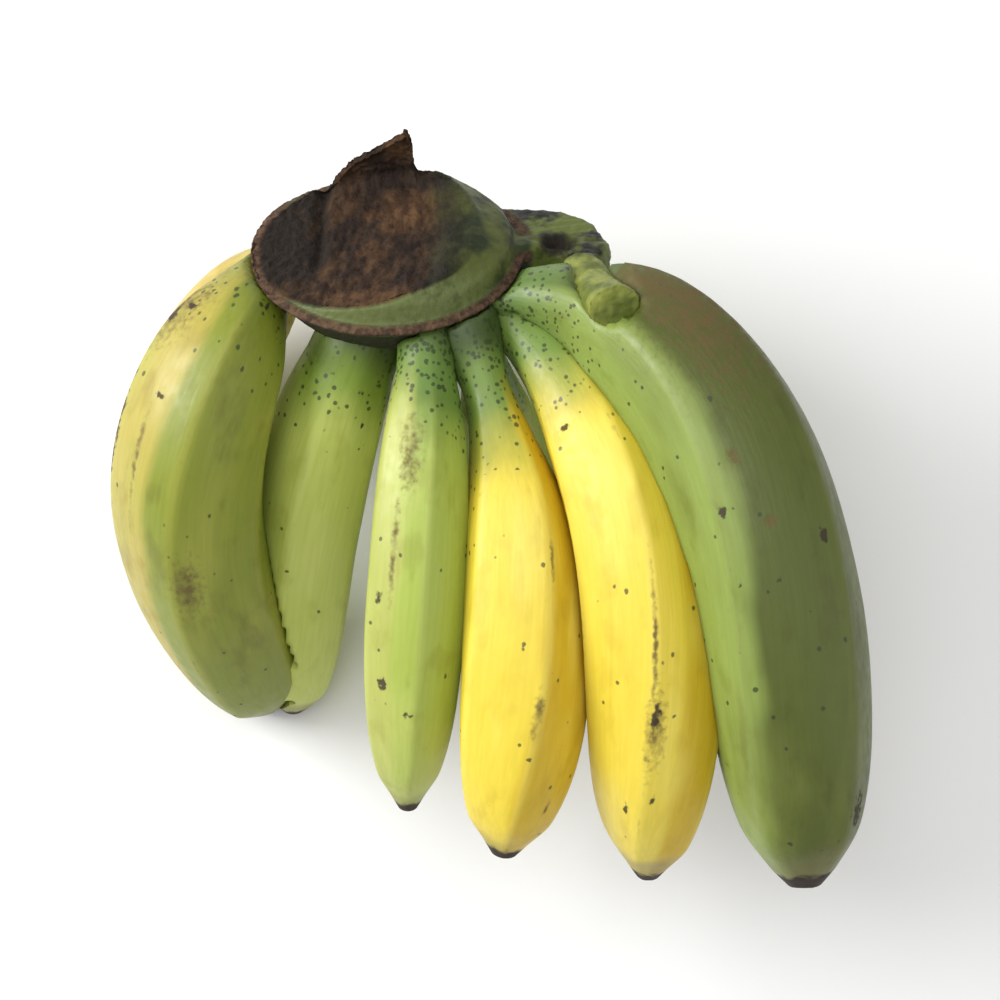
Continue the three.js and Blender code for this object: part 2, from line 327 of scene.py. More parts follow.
# The crown's finishes, each carried by its mesh as a share. The blackened one also carries painted
# shade under the rim and in the torn corner's hollow.
CROWN_MASKS = ("brown", "dark", "rim", "band", "torn", "flap")

# Camera: seen from the front and above in the standing hand, in degrees and millimetres.
CAMERA_ELEVATION = 35
CAMERA_DISTANCE = 560
CAMERA_TARGET = (30, -50, -53)
CAMERA_LENS = 75

# Soft lights: name, place and width in metres, and power in watts. Then the world's brightness.
LIGHTS = (
    ("key_light", (-0.85, 0.25, 0.6), 0.5, 10.5),
    ("top_light", (-0.1, 0.2, 1.3), 1.0, 7),
    ("fill_light", (0.9, -0.4, 0.7), 0.9, 2),
)
LIGHT_AIM = (0, 0, 0.05)
WORLD_STRENGTH = 0.45


def lay_down_matrix():
    """From the standing hand in millimetres to the frame in metres."""
    turn = Matrix.Rotation(math.radians(-TILT_BACK), 4, "X")
    return Matrix.Scale(MM, 4) @ Matrix.Translation(LAID_SHIFT) @ turn


LAY_DOWN = lay_down_matrix()

# The surfaces of the pieces made so far, for the fingers that are pressed against them.
PIECE_TREES = []


def crown_matrix():
    """The crown's own frame in the standing hand."""
    return Matrix.Translation(CROWN_MIDDLE) @ Matrix.Rotation(math.radians(CROWN_LEAN), 4, "X")


FRAME_FROM_CROWN = LAY_DOWN @ crown_matrix()
CROWN_FROM_FRAME = FRAME_FROM_CROWN.inverted()


def crown_depth(y):
    """The rim's reach to the back or to the front, on the side where y is."""
    return CROWN_BACK_DEPTH if y > 0 else CROWN_FRONT_DEPTH


def crown_spread(own):
    """How far out a point in the crown's own frame is, as a share of the way to its rim."""
    return math.hypot(own.x / CROWN_HALF_WIDTH, own.y / crown_depth(own.y))


def clamp(value, low=0.0, high=1.0):
    """The value, kept between low and high."""
    return max(low, min(high, value))


def ramp(value, start, end):
    """0 at start and 1 at end, with a smooth rise between."""
    t = clamp((value - start) / (end - start))
    return t * t * (3 - 2 * t)


def smooth_value(table, s):
    """The value of a table at s, on a smooth curve through its entries."""
    i = 0
    while i < len(table) - 2 and s > table[i + 1][0]:
        i += 1
    x1, y1 = table[i]
    x2, y2 = table[i + 1]
    x0, y0 = table[max(i - 1, 0)]
    x3, y3 = table[min(i + 2, len(table) - 1)]
    step = x2 - x1
    t = (s - x1) / step
    m1 = (y2 - y0) / (x2 - x0) * step
    m2 = (y3 - y1) / (x3 - x1) * step
    return (
        (2 * t**3 - 3 * t**2 + 1) * y1
        + (t**3 - 2 * t**2 + t) * m1
        + (-2 * t**3 + 3 * t**2) * y2
        + (t**3 - t**2) * m2
    )


def middle_line(finger):
    """The middle line of a standing finger: points, with the side and bulging-face directions."""
    stations = []
    point = Vector(finger.root)
    for i in range(LINE_STEPS + 1):
        s = i / LINE_STEPS
        bending = s * (1 + finger.curl * (1 - s))
        pitch = math.radians(finger.rise - finger.bend * bending)
        heading = math.radians(finger.azimuth + finger.sway * bending)
        out = Vector((math.sin(heading), -math.cos(heading), 0))
        side = Vector((math.cos(heading), math.sin(heading), 0))
        up = Vector((0, 0, 1))
        along = out * math.cos(pitch) + up * math.sin(pitch)
        face = up * math.cos(pitch) - out * math.sin(pitch)
        stations.append((point.copy(), side, face))
        point += along * (finger.length / LINE_STEPS)
    return stations


def turned_from_face(angle, roll):
    """The angle from the middle of the nearest flat face, between minus and plus half a face."""
    face = 2 * math.pi / FACES
    return (angle - math.radians(roll)) % face - face / 2


def face_factor(angle, s, roll):
    """How far the skin stands out at an angle round a finger."""
    growth = clamp((s - FACE_START) / FACE_GROWTH)
    fade = 1 if s < FACE_END else 0.2 + 0.8 * (1 - s) / (1 - FACE_END)
    strength = FACE_STRENGTH * growth * fade
    half_face = math.pi / FACES
    flat = math.cos(half_face) / math.cos(turned_from_face(angle, roll)) * FACE_SWELL
    return 1 - strength + strength * flat


def ring_position(t):
    """Rings crowd together towards the blossom end, where a finger tapers fast."""
    if t < 0.8:
        return t
    return 0.8 + 0.2 * (1 - (1 - (t - 0.8) / 0.2) ** 1.6)


def make_tube(bm, sides, rows):
    """A unit tube along Z with rows rings, open at both ends."""
    bmesh.ops.create_circle(bm, cap_ends=False, segments=sides, radius=1)
    edges = bm.edges[:]
    for _ in range(rows - 1):
        made = bmesh.ops.extrude_edge_only(bm, edges=edges)["geom"]
        verts = [item for item in made if isinstance(item, bmesh.types.BMVert)]
        edges = [
            item
            for item in made
            if isinstance(item, bmesh.types.BMEdge) and all(v in verts for v in item.verts)
        ]
        bmesh.ops.translate(bm, verts=verts, vec=(0, 0, 1))


def add_object(name, bm, material=None):
    """A new smooth object from a bmesh, with its material."""
    mesh = bpy.data.meshes.new(name)
    bm.to_mesh(mesh)
    bm.free()
    mesh.shade_smooth()
    if material is not None:
        mesh.materials.append(material)
    piece = bpy.data.objects.new(name, mesh)
    bpy.context.scene.collection.objects.link(piece)
    return piece


def feed(tree, socket, value):
    """Links another socket to an input, or gives the input a plain value."""
    if isinstance(value, bpy.types.NodeSocket):
        tree.links.new(value, socket)
    else:
        socket.default_value = value


def math_of(tree, operation, *values):
    """The result of a calculation with numbers."""
    node = tree.nodes.new("ShaderNodeMath")
    node.operation = operation
    for socket, value in zip(node.inputs, values):
        feed(tree, socket, value)
    return node.outputs[0]


def vector_of(tree, operation, *values):
    """The result of a calculation with vectors."""
    node = tree.nodes.new("ShaderNodeVectorMath")
    node.operation = operation
    for socket, value in zip(node.inputs, values):
        feed(tree, socket, value)
    return node.outputs["Value" if operation in {"LENGTH", "DOT_PRODUCT"} else "Vector"]


def step_of(tree, value, start, end, low=0.0, high=1.0):
    """A smooth step from low at start to high at end."""
    node = tree.nodes.new("ShaderNodeMapRange")
    node.interpolation_type = "SMOOTHSTEP"
    for socket, item in zip(node.inputs, (value, start, end, low, high)):
        feed(tree, socket, item)
    return node.outputs[0]


def color_of(tree, factor, first, second, blend="MIX"):
    """Two colours, mixed by a factor."""
    node = tree.nodes.new("ShaderNodeMix")
    node.data_type = "RGBA"
    node.blend_type = blend
    feed(tree, node.inputs[0], factor)
    feed(tree, node.inputs[6], first)
    feed(tree, node.inputs[7], second)
    return node.outputs[2]


def noise_of(tree, place, scale, detail=3.0, stretch=(1, 1, 1)):
    """A cloudy pattern between 0 and 1, drawn out where stretch is small."""
    node = tree.nodes.new("ShaderNodeTexNoise")
    feed(tree, node.inputs["Vector"], vector_of(tree, "MULTIPLY", place, stretch))
    feed(tree, node.inputs["Scale"], scale)
    feed(tree, node.inputs["Detail"], detail)
    return node.outputs["Fac"]


def cells_of(tree, place, scale):
    """Scattered cells: the distance to each one's middle, and its own random value."""
    node = tree.nodes.new("ShaderNodeTexVoronoi")
    feed(tree, node.inputs["Vector"], place)
    feed(tree, node.inputs["Scale"], scale)
    parts = tree.nodes.new("ShaderNodeSeparateColor")
    feed(tree, parts.inputs["Color"], node.outputs["Color"])
    return node.outputs["Distance"], parts.outputs["Red"]


def attribute_of(tree, name, output="Fac"):
    """A value that the mesh carries at its points."""
    node = tree.nodes.new("ShaderNodeAttribute")
    node.attribute_name = name
    return node.outputs[output]


def new_group(name, inputs, outputs):
    """A new node group with named sockets, and its input and output nodes."""
    group = bpy.data.node_groups.new(name, "ShaderNodeTree")
    for label, kind in inputs:
        group.interface.new_socket(label, in_out="INPUT", socket_type="NodeSocket" + kind)
    for label, kind in outputs:
        group.interface.new_socket(label, in_out="OUTPUT", socket_type="NodeSocket" + kind)
    return group, group.nodes.new("NodeGroupInput"), group.nodes.new("NodeGroupOutput")


def place_group(tree, group, **values):
    """A node group placed in a material, with its own values."""
    node = tree.nodes.new("ShaderNodeGroup")
    node.node_tree = group
    for label, value in values.items():
        feed(tree, node.inputs[label.replace("_", " ")], value)
    return node


def finger_rows(settings):
    """The rings of a finger: places along it, and shares of the half thickness there."""
    rings = settings.finger_rings
    rows = [(ring_position(i / rings), 1.0) for i in range(rings + 1)]
    rows.extend(BLOSSOM_ROWS)
    return rows


def half_thickness(finger, s):
    """Half a finger's thickness at a place along it, in millimetres."""
    thickness = smooth_value(finger.profile, finger.neck + (1 - finger.neck) * s)
    return finger.girth / 2 * thickness


def straight_place(finger, half, angle, s):
    """A skin point's place if its finger were straight, in metres."""
    return Vector((half * math.cos(angle), half * math.sin(angle), s * finger.length)) * MM


def finger_bmesh(finger, settings, neighbours):
    """The skin of one finger, laid down, pressed in where it meets its neighbours."""
    rows = finger_rows(settings)
    bm = bmesh.new()
    make_tube(bm, settings.finger_sides, len(rows))
    along = bm.verts.layers.float.new("along")
    ridge = bm.verts.layers.float.new("ridge")
    straight = bm.verts.layers.float_vector.new("straight")
    stations = middle_line(finger)
    seed = sum(finger.root) + finger.length
    for vert in bm.verts:
        s, share = rows[round(vert.co.z)]
        angle = math.atan2(vert.co.y, vert.co.x)
        exact = s * LINE_STEPS
        before = min(int(exact), LINE_STEPS - 1)
        middle = stations[before][0].lerp(stations[before + 1][0], exact - before)
        _, side, face = stations[round(exact)]
        half = half_thickness(finger, s) * share
        half *= 1 + NECK_FLARE * ramp(s, FLARE_END, 0)
        lump = noise.noise(Vector((math.cos(angle), math.sin(angle), s * 7 + seed)))
        radius = half * face_factor(angle, s, finger.roll) * (1 - UNEVENNESS * (1 + lump))
        centre = middle + side * (radius * math.cos(angle))
        centre += face * (radius * math.sin(angle) * DEEPNESS)
        vert[along] = s
        vert[straight] = straight_place(finger, half, angle, s)
        vert[ridge] = abs(turned_from_face(angle, finger.roll)) / (math.pi / FACES)
        vert.co = pressed_in(LAY_DOWN @ middle, LAY_DOWN @ centre, neighbours)
        if s < TUCKED_END:
            vert.co = under_rim(vert.co)
    bmesh.ops.edgeloop_fill(bm, edges=[edge for edge in bm.edges if edge.is_boundary])
    keep_in_box(bm)
    bmesh.ops.recalc_face_normals(bm, faces=bm.faces[:])
    return bm


def pressed_in(centre, place, neighbours):
    """A skin point, drawn in towards its finger's middle line where a neighbour is in the way."""
    reach = place - centre
    distance = reach.length
    if distance < 0.1 * MM:
        return place
    direction = reach / distance
    for tree in neighbours:
        _, normal, _, found = tree.ray_cast(centre, direction, distance)
        if found is not None and normal.dot(direction) < 0:
            distance = min(distance, found + SKIN_TUCK)
    return centre + direction * distance


def under_rim(place):
    """A point over the rim but inside its outline, lowered until it is hidden under the rim."""
    own = CROWN_FROM_FRAME @ place
    highest = RIM_UNDERSIDE + RIM_STEEPNESS * max(crown_spread(own) - RIM_REACH, 0)
    if own.z <= highest:
        return place
    own.z = highest
    return FRAME_FROM_CROWN @ own


def keep_in_box(bm):
    """Presses the skin flat where the hand lies down, and keeps it in the solid's own box."""
    low, high = SOLID_BOX
    for vert in bm.verts:
        for axis in range(3):
            vert.co[axis] = clamp(vert.co[axis], low[axis], high[axis])


def mark_group():
    """A ragged mark at one place of a straightened skin."""
    name = "skin_mark"
    if name in bpy.data.node_groups:
        return bpy.data.node_groups[name]
    inputs = [("Middle", "Vector"), ("Size", "Vector"), ("Softness", "Float"), ("Ragged", "Float")]
    group, given, result = new_group(name, inputs, [("Mask", "Float")])
    away = vector_of(group, "SUBTRACT", attribute_of(group, "straight", "Vector"),
                     given.outputs["Middle"])
    away = vector_of(group, "DIVIDE", away, given.outputs["Size"])
    distance = vector_of(group, "LENGTH", away)
    distance = math_of(group, "MULTIPLY_ADD", given.outputs["Ragged"], 2.4, distance)
    start = math_of(group, "ADD", 2.15, given.outputs["Softness"])
    end = math_of(group, "SUBTRACT", 1.85, given.outputs["Softness"])
    feed(group, result.inputs["Mask"], step_of(group, distance, start, end))
    return group


def skin_group():
    """The shared look of banana skin: its colour, roughness and height."""
    name = "banana_skin"
    if name in bpy.data.node_groups:
        return bpy.data.node_groups[name]
    colors = [(label, "Color") for label in ("Neck", "Body", "Pale", "Flank")]
    values = (
        "Neck End", "Flank From", "Freckles", "Rubs", "Mottle", "Seed", "Spots", "Stains", "Shades"
    )
    inputs = colors + [(label, "Float") for label in values] + [("Flank Side", "Vector")]
    outputs = [("Color", "Color"), ("Roughness", "Float"), ("Height", "Float")]
    group, given, result = new_group(name, inputs, outputs)
    get = given.outputs

    along = attribute_of(group, "along")
    ridge = attribute_of(group, "ridge")
    straight = attribute_of(group, "straight", "Vector")
    shift = group.nodes.new("ShaderNodeCombineXYZ")
    feed(group, shift.inputs["Z"], get["Seed"])
    place = vector_of(group, "ADD", straight, shift.outputs["Vector"])
    wave = noise_of(group, place, 45.0, 1.0)
    grain = noise_of(group, place, 300.0, 3.0)
    fibre = noise_of(group, place, 900.0, 1.0, (1, 1, 0.06))

    # Neck and body, and a side colour that is partly the skin's own tone and partly painted light
    # and shade
    wavy = math_of(group, "MULTIPLY_ADD", wave, 0.14, math_of(group, "SUBTRACT", along, 0.07))
    neck_stop = math_of(group, "ADD", get["Neck End"], 0.15)
    body = step_of(group, wavy, get["Neck End"], neck_stop)
    color = color_of(group, body, get["Neck"], get["Body"])
    around = vector_of(group, "MULTIPLY", straight, (1, 1, 0))
    around = vector_of(group, "NORMALIZE", around)
    side = vector_of(group, "DOT_PRODUCT", around, get["Flank Side"])
    side = math_of(group, "MULTIPLY_ADD", wave, 0.3, math_of(group, "SUBTRACT", side, 0.15))
    side_tone_and_shading_stop = math_of(group, "ADD", get["Flank From"], 0.22)
    flank = step_of(group, side, get["Flank From"], side_tone_and_shading_stop)
    flank = math_of(group, "MULTIPLY", flank, step_of(group, along, 0.1, 0.26))
    color = color_of(group, flank, color, get["Flank"])

    # Pale clouds and pale ridges
    cloud = noise_of(group, place, 60.0, 2.0, (1, 1, 0.35))
    cloud = step_of(group, cloud, 0.46, 0.72, 0.0, 0.6)
    edge = step_of(group, ridge, 0.78, 1.0, 0.0, 0.4)
    pale = math_of(group, "MULTIPLY", math_of(group, "MAXIMUM", cloud, edge), body)
    color = color_of(group, pale, color, get["Pale"])

    # Fine fibres and darker mottling
    lines = step_of(group, fibre, 0.25, 0.75, 0.0, 0.16)
    color = color_of(group, lines, color, (0.55, 0.6, 0.35, 1), "MULTIPLY")
    patchy = noise_of(group, place, 130.0, 3.0, (1, 1, 0.6))
    patchy = math_of(group, "MULTIPLY", step_of(group, patchy, 0.52, 0.72), get["Mottle"])
    color = color_of(group, patchy, color, (0.72, 0.66, 0.42, 1), "MULTIPLY")

    # Rubbed ridges
    worn = math_of(group, "MULTIPLY_ADD", grain, 0.5, math_of(group, "SUBTRACT", ridge, 0.3))
    worn = step_of(group, worn, 0.93, 1.02)
    broken = step_of(group, noise_of(group, place, 110.0, 1.0, (1, 1, 0.3)), 0.5, 0.62)
    worn = math_of(group, "MULTIPLY", math_of(group, "MULTIPLY", worn, broken), get["Rubs"])
    worn = math_of(group, "MULTIPLY", worn, math_of(group, "MULTIPLY", body, 0.6))
    color = color_of(group, worn, color, (0.19, 0.12, 0.035, 1))

    # Freckles, thick on the neck and thin on the body
    away, chance = cells_of(group, place, 700.0)
    share = step_of(group, wavy, 0.08, 0.32, 0.75, 0.014)
    rare = math_of(group, "SUBTRACT", 1.0, math_of(group, "MULTIPLY", share, get["Freckles"]))
    chosen = math_of(group, "GREATER_THAN", chance, rare)
    away = math_of(group, "MULTIPLY_ADD", grain, 0.9, away)
    dot = math_of(group, "MULTIPLY", step_of(group, away, 1.0, 0.72), chosen)
    color = color_of(group, math_of(group, "MULTIPLY", dot, 0.8), color, (0.02, 0.03, 0.008, 1))

    # Stains and spots, the skin's own marks, and shades, painted shade where shadow falls on the
    # skin
    color = color_of(group, math_of(group, "MULTIPLY", get["Shades"], 0.6), color,
                     (0.05, 0.065, 0.012, 1))
    thin = step_of(group, grain, 0.3, 0.62, 0.35, 0.9)
    stain = math_of(group, "MULTIPLY", get["Stains"], thin)
    color = color_of(group, stain, color, (0.115, 0.075, 0.02, 1))
    color = color_of(group, math_of(group, "MULTIPLY", get["Spots"], 0.92), color,
                     (0.03, 0.017, 0.008, 1))

    # Painted shade at the start, where the neck goes in under the crown's rim, and the dry blossom
    # end
    start = step_of(group, wavy, 0.14, 0.03, 0.0, 0.85)
    color = color_of(group, start, color, (0.025, 0.045, 0.01, 1))
    near_end = step_of(group, wavy, 0.93, 0.985, 0.0, 0.55)
    color = color_of(group, near_end, color, (0.17, 0.14, 0.03, 1))
    end_place = math_of(group, "SUBTRACT", along, 0.015)
    end_place = math_of(group, "MULTIPLY_ADD", grain, 0.03, end_place)
    end = step_of(group, end_place, 0.972, 0.984)
    color = color_of(group, end, color, (0.03, 0.018, 0.01, 1))
    feed(group, result.inputs["Color"], color)

    # Roughness and height
    rough = step_of(group, grain, 0.3, 0.7, 0.4, 0.52)
    dry = math_of(group, "MAXIMUM", math_of(group, "MAXIMUM", stain, get["Spots"]), end)
    rough = math_of(group, "MULTIPLY_ADD", dry, 0.3, rough)
    feed(group, result.inputs["Roughness"], rough)

    height = math_of(group, "MULTIPLY", fibre, 0.35)
    height = math_of(group, "MULTIPLY_ADD", grain, 0.4, height)
    height = math_of(group, "MULTIPLY_ADD", wave, 0.8, height)
    height = math_of(group, "MULTIPLY_ADD", dry, -0.5, height)
    height = math_of(group, "MULTIPLY_ADD", dot, -0.15, height)
    feed(group, result.inputs["Height"], height)
    return group


def marks_mask(tree, finger, kind, softness, ragged):
    """All the marks of one kind on a finger, as one mask with ragged edges."""
    mask = 0.0
    for mark in MARKS.get(finger.name, ()):
        if mark.kind != kind:
            continue
        half = half_thickness(finger, mark.along)
        middle = straight_place(finger, half, math.radians(mark.angle), mark.along)
        size = Vector((mark.width, mark.width, mark.length)) * (MM * MARK_SPREAD)
        placed = place_group(
            tree, mark_group(), Middle=tuple(middle), Size=tuple(size),
            Softness=softness, Ragged=ragged,
        )
        mask = math_of(tree, "MAXIMUM", mask, placed.outputs["Mask"])
    return mask


def skin_material(finger):
    """The skin of one finger, with the marks that belong to it."""
    skin = SKINS[finger.skin]
    material = bpy.data.materials.new(finger.name + "_" + finger.skin)
    material.use_nodes = True
    tree = material.node_tree
    shader = tree.nodes["Principled BSDF"]
    # The side colour is partly the skin's own tone and partly painted light and shade.
    flank = math.radians(skin.flank_angle)
    ragged = noise_of(tree, attribute_of(tree, "straight", "Vector"), 650.0, 2.0)
    pattern = place_group(
        tree,
        skin_group(),
        Neck=(*skin.neck, 1),
        Body=(*skin.body, 1),
        Pale=(*skin.pale, 1),
        Flank=(*skin.flank, 1),
        Neck_End=skin.neck_end,
        Flank_Side=(math.cos(flank), math.sin(flank), 0),
        Flank_From=math.cos(math.radians(skin.flank_width)),
        Freckles=skin.freckles,
        Rubs=skin.rubs,
        Mottle=skin.mottle,
        Seed=finger.length / 100,
        Spots=marks_mask(tree, finger, "spot", 0.15, ragged),
        Stains=marks_mask(tree, finger, "stain", 0.6, ragged),
        Shades=marks_mask(tree, finger, "shade", 1.0, ragged),
    )
    bump = tree.nodes.new("ShaderNodeBump")
    bump.inputs["Strength"].default_value = 0.3
    bump.inputs["Distance"].default_value = 0.0006
    feed(tree, bump.inputs["Height"], pattern.outputs["Height"])
    feed(tree, shader.inputs["Normal"], bump.outputs["Normal"])
    feed(tree, shader.inputs["Base Color"], pattern.outputs["Color"])
    feed(tree, shader.inputs["Roughness"], pattern.outputs["Roughness"])
    return material


def add_fingers(context, fingers):
    """Makes fingers in order, each pressed in by the crown and the fingers made before it."""
    settings = context.scene.hand_of_bananas
    for finger in fingers:
        bm = finger_bmesh(finger, settings, PIECE_TREES)
        PIECE_TREES.append(BVHTree.FromBMesh(bm))
        piece = add_object(finger.name + "_skin", bm, skin_material(finger))
        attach(piece, "root")
        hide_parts(finger.name)


def crown_material():
    """The crown's green skin, brown dried cut, red-brown rim and torn right side."""
    material = bpy.data.materials.new("crown_skin")
    material.use_nodes = True
    tree = material.node_tree
    shader = tree.nodes["Principled BSDF"]
    place = tree.nodes.new("ShaderNodeTexCoord").outputs["Object"]
    cloud = noise_of(tree, place, 95.0, 3.0)
    grain = noise_of(tree, place, 520.0, 3.0)
    fibre = noise_of(tree, place, 260.0, 3.0, (1, 0.35, 1))
    brown, dark, rim, band, torn, flap = (attribute_of(tree, name) for name in CROWN_MASKS)

    # Green skin, greyer in the band over the rim
    deep = step_of(tree, cloud, 0.38, 0.62)
    color = color_of(tree, deep, (0.018, 0.028, 0.007, 1), (0.085, 0.1, 0.02, 1))
    grey = math_of(tree, "MULTIPLY", band, step_of(tree, grain, 0.3, 0.6, 0.55, 1.0))
    color = color_of(tree, grey, color, (0.115, 0.14, 0.045, 1))

    # The torn corner, green with blackened patches, and the paler flap
    patch = step_of(tree, cloud, 0.44, 0.56)
    corner = color_of(tree, patch, (0.1, 0.125, 0.022, 1), (0.012, 0.012, 0.008, 1))
    color = color_of(tree, torn, color, corner)
    bright = step_of(tree, cloud, 0.4, 0.62)
    leaf = color_of(tree, bright, (0.24, 0.27, 0.05, 1), (0.1, 0.125, 0.02, 1))
    color = color_of(tree, flap, color, leaf)

    # The dried brown cut, with fibres, and its blackened parts, whose near-black also paints shade
    # under the rim and in the torn corner's hollow
    tan = step_of(tree, cloud, 0.35, 0.68)
    cut = color_of(tree, tan, (0.026, 0.014, 0.008, 1), (0.095, 0.048, 0.02, 1))
    strand = step_of(tree, fibre, 0.36, 0.62, 0.0, 0.75)
    cut = color_of(tree, strand, cut, (0.3, 0.24, 0.2, 1), "MULTIPLY")
    color = color_of(tree, brown, color, cut)
    blackened_and_shade_share = math_of(tree, "MULTIPLY", dark, step_of(tree, grain, 0.2, 0.55, 0.7, 1.0))
    color = color_of(tree, blackened_and_shade_share, color, (0.012, 0.008, 0.005, 1))

    # The corky rim
    cork = color_of(tree, step_of(tree, grain, 0.35, 0.65), (0.115, 0.066, 0.038, 1),
                    (0.045, 0.025, 0.015, 1))
    color = color_of(tree, rim, color, cork)
    feed(tree, shader.inputs["Base Color"], color)

    shader.inputs["Specular IOR Level"].default_value = 0.25
    dry = math_of(tree, "MAXIMUM", brown, math_of(tree, "MAXIMUM", dark, rim))
    feed(tree, shader.inputs["Roughness"], step_of(tree, dry, 0.0, 1.0, 0.5, 0.85))
    height = math_of(tree, "MULTIPLY_ADD", fibre, 1.2, grain)
    height = math_of(tree, "MULTIPLY", height, step_of(tree, dry, 0.0, 1.0, 0.35, 1.0))
    bump = tree.nodes.new("ShaderNodeBump")
    bump.inputs["Strength"].default_value = 0.7
    bump.inputs["Distance"].default_value = 0.0012
    feed(tree, bump.inputs["Height"], height)
    feed(tree, shader.inputs["Normal"], bump.outputs["Normal"])
    return material


def cut_plane():
    """A point and the upward normal of the knife cut, in the crown's own frame."""
    turn = Matrix.Rotation(math.radians(CUT_SLOPE_BACK), 3, "X")
    turn = turn @ Matrix.Rotation(math.radians(-CUT_SLOPE_RIGHT), 3, "Y")
    return Vector((CUT_START, 0, CUT_HEIGHT)), turn @ Vector((0, 0, 1))


def add_crown_body(bm):
    """The crown's rounded body with its welt, cut off by the knife."""
    body = bmesh.new()
    make_tube(body, CROWN_SIDES, len(CROWN_LEVELS))
    for vert in body.verts:
        height, share = CROWN_LEVELS[round(vert.co.z)]
        vert.co.x *= share * CROWN_HALF_WIDTH
        vert.co.y *= share * crown_depth(vert.co.y)
        vert.co.z = height
    place, normal = cut_plane()
    geometry = body.verts[:] + body.edges[:] + body.faces[:]
    bmesh.ops.bisect_plane(
        body, geom=geometry, dist=1e-5, plane_co=place, plane_no=normal, clear_outer=True
    )
    bmesh.ops.edgeloop_fill(body, edges=[edge for edge in body.edges if edge.is_boundary])
    bmesh.ops.recalc_face_normals(body, faces=body.faces[:])
    join(bm, body, crown_matrix())


def join(bm, other, matrix):
    """Adds another bmesh, moved by a matrix, and frees it."""
    bmesh.ops.transform(other, matrix=matrix, verts=other.verts[:])
    mesh = bpy.data.meshes.new("join")
    other.to_mesh(mesh)
    other.free()
    bm.from_mesh(mesh)
    bpy.data.meshes.remove(mesh)


def add_plate(bm, outline, thickness, bevel, matrix):
    """A flat outline made thick, with rounded edges."""
    plate = bmesh.new()
    bottom = plate.faces.new([plate.verts.new((x, y, 0)) for x, y in outline])
    made = bmesh.ops.extrude_face_region(plate, geom=[bottom])["geom"]
    top = [item for item in made if isinstance(item, bmesh.types.BMVert)]
    bmesh.ops.translate(plate, verts=top, vec=(0, 0, thickness))
    bmesh.ops.recalc_face_normals(plate, faces=plate.faces[:])
    bmesh.ops.bevel(
        plate, geom=plate.edges[:], offset=bevel, affect="EDGES", segments=3,
        profile=0.5, material=-1, offset_type="OFFSET",
    )
    join(bm, plate, matrix)


def add_shard(bm):
    """The thin pointed shard that the knife left standing at the back."""
    upright = Matrix.Rotation(math.pi / 2, 4, "X")
    matrix = crown_matrix() @ Matrix.Translation(SHARD_PLACE) @ upright
    add_plate(bm, SHARD_OUTLINE, SHARD_THICKNESS, SHARD_BEVEL, matrix)


def add_corner(bm):
    """The torn corner at the right: a flat lobe with rounded edges."""
    matrix = Matrix.Translation((0, 0, CORNER_HEIGHT))
    add_plate(bm, CORNER_OUTLINE, CORNER_THICKNESS, CORNER_BEVEL, matrix)


def add_stub(bm):
    """The torn stub of a missing finger, lying over the neck of its neighbour."""
    stub = bmesh.new()
    bmesh.ops.create_cone(
        stub, cap_ends=True, segments=STUB_SIDES, radius1=STUB_RADIUS, radius2=STUB_TIP_RADIUS,
        depth=STUB_LENGTH,
    )
    turn = Matrix.Rotation(math.radians(STUB_AZIMUTH), 4, "Z")
    rise = Matrix.Rotation(-math.radians(STUB_RISE), 4, "X")
    flat = Matrix.Diagonal((1, 1, STUB_FLATNESS, 1))
    lying = Matrix.Rotation(math.pi / 2, 4, "X")
    join(bm, stub, Matrix.Translation(STUB_PLACE) @ turn @ rise @ flat @ lying)


def crown_masks(own, standing):
    """What a point of the crown belongs to: shares for each of the crown's finishes."""
    place, normal = cut_plane()
    over = (own - place).dot(normal)
    spread = crown_spread(own)
    wander = 3 * noise.noise(own * 0.12)
    on_body = ramp(spread, 1.12, 1.06)
    flap = ramp(standing.y + wander * 0.5, -11, -14) * ramp(standing.x, 40, 44)
    cut = ramp(over, -1.6, -0.7) * on_body
    brown = cut * ramp(own.x + wander, BROWN_END + 5, BROWN_END - 4)
    back = ramp(own.y + wander, 19, 24) * ramp(own.z, 0, 3) * on_body
    left = ramp(own.x + wander, FOLD_X + 2, FOLD_X - 3) * ramp(own.y, -22, -14)
    fold = math.exp(-(((own.x - FOLD_X) / 2.2) ** 2)) * ramp(own.y, -16, -8)
    bruise = cut * math.exp(-(((own.x - 17) / 6) ** 2)) * 0.8
    rim = ramp(abs(own.z + 0.4), 2.0, 1.2) * ramp(spread, 0.94, 0.985) * on_body
    # Painted shade on the crown's skin under the rim, where the necks go in.
    under = 0.85 * ramp(own.z, -2, -4) * on_body
    # Painted shade in the hollow of the torn corner.
    hollow = ramp((standing - Vector(HOLLOW_PLACE)).length, HOLLOW_RADIUS + 1, HOLLOW_RADIUS - 3)
    return {
        "brown": max(brown, back),
        "dark": max(cut * max(left, fold), bruise, hollow, under),
        "rim": rim,
        "band": ramp(own.y + wander, -14, -24) * ramp(over, -0.5, -1.8) * on_body,
        "torn": (1 - on_body) * (1 - flap),
        "flap": flap,
    }


